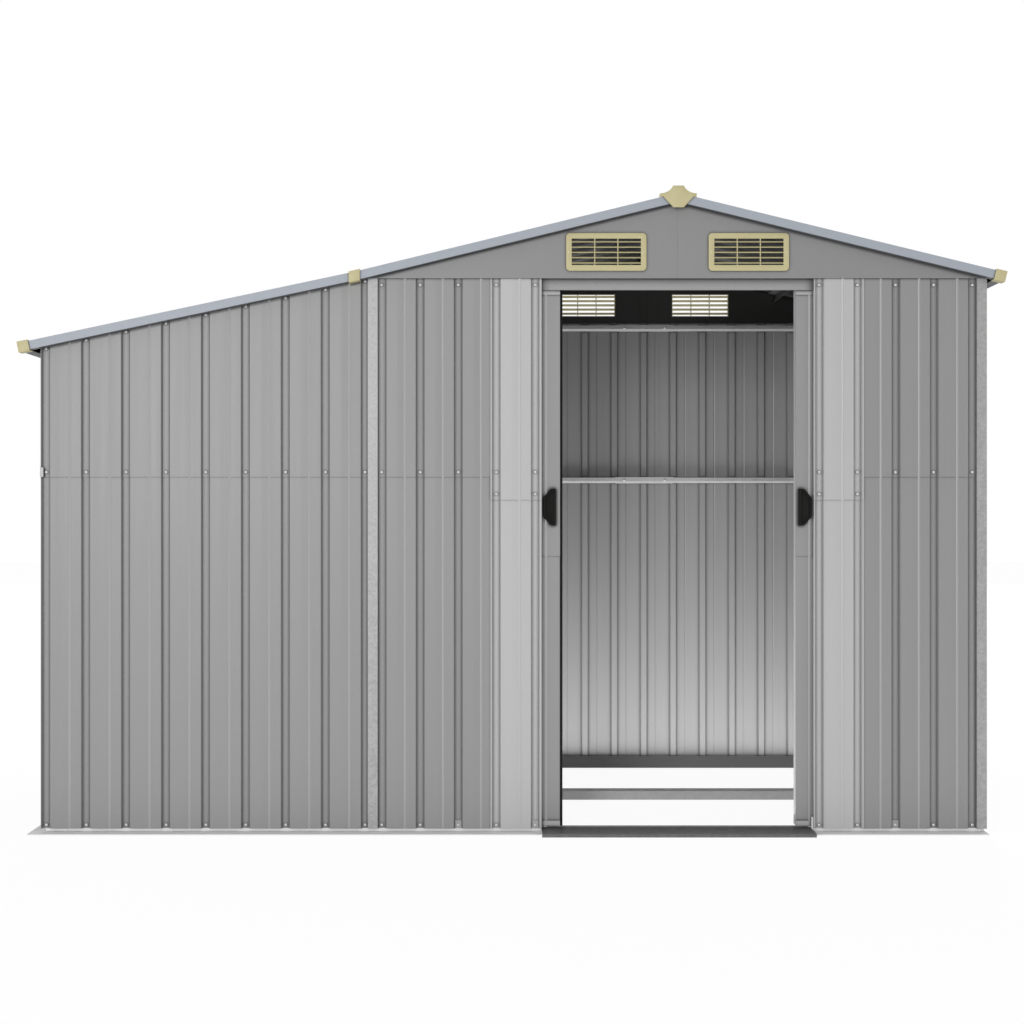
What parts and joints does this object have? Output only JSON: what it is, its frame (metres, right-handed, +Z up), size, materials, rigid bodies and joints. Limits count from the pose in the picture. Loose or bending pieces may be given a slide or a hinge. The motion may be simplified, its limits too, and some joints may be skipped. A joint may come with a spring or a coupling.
{
  "type": "metal storage shed",
  "caption": "Ribbed steel storage shed with a gabled main bay, a lean-to bay beside it, a wide doorway with sliding doors, and louvred gable vents.",
  "frame": {"origin": "on the ground, in the middle of the whole shed's box", "axes": "+X to the right seen from the doorway side, +Y from the front wall to the rear wall, +Z up"},
  "size_m": [3.0012, 1.0544, 1.9665],
  "materials": {
    "wall_sheet": "satin",
    "pale_wall_sheet": "satin",
    "gable_sheet": "satin",
    "roof_sheet": "satin",
    "roof_trim": "satin",
    "door_sheet": "satin",
    "door_frame": "satin",
    "galvanised_post": "spangled zinc",
    "galvanised_rail": "zinc coated",
    "tan_moulding": "matte",
    "black_handle": "matte",
    "black_seal": "matte",
    "nylon_glide": "satin"
  },
  "bodies": {
    "shed": {"base_rail_front_left": "galvanised_rail", "base_rail_front_right": "galvanised_rail", "base_rail_left": "galvanised_rail", "base_rail_rear": "galvanised_rail", "base_rail_right": "galvanised_rail", "corner_posts": "galvanised_post", "door_header": "galvanised_rail", "door_jambs": "pale_wall_sheet", "door_side_lower": "pale_wall_sheet", "door_side_upper": "pale_wall_sheet", "door_sill": "galvanised_rail", "eave_trims": "roof_trim", "floor_cross_rail": "galvanised_rail", "floor_track": "galvanised_rail", "front_gable": "gable_sheet", "front_lean_lower": "wall_sheet", "front_lean_upper": "wall_sheet", "front_left_lower": "wall_sheet", "front_left_upper": "wall_sheet", "front_right_lower": "wall_sheet", "front_right_upper": "wall_sheet", "front_roof_caps": "tan_moulding", "gable_vents": "tan_moulding", "girt_connectors": "galvanised_rail", "junction_posts": "galvanised_post", "left_side_wall": "wall_sheet", "rear_gable": "gable_sheet", "rear_girts": "galvanised_rail", "rear_lean_lower": "wall_sheet", "rear_lean_upper": "wall_sheet", "rear_main_lower": "wall_sheet", "rear_main_upper": "wall_sheet", "rear_roof_caps": "tan_moulding", "right_side_wall": "wall_sheet", "roof_beams": "galvanised_rail", "roof_cover_strips": "roof_trim", "roof_lean": "roof_sheet", "roof_main_left": "roof_sheet", "roof_main_right": "roof_sheet", "side_girts": "galvanised_rail", "verge_trims": "roof_trim", "wall_clips": "galvanised_rail"},
    "left_door": {"left_door_frame": "door_frame", "left_door_glides": "nylon_glide", "left_door_handle": "black_handle", "left_door_seal": "black_seal", "left_door_sheets": "door_sheet"},
    "right_door": {"right_door_frame": "door_frame", "right_door_glides": "nylon_glide", "right_door_handle": "black_handle", "right_door_sheets": "door_sheet"}
  },
  "joints": [
    {"name": "left_door_slide", "type": "slide", "parent": "shed", "child": "left_door", "axis": [1, 0, 0], "range_m": [0, 0.348]},
    {"name": "right_door_slide", "type": "slide", "parent": "shed", "child": "right_door", "axis": [-1, 0, 0], "range_m": [0, 0.362]}
  ]
}
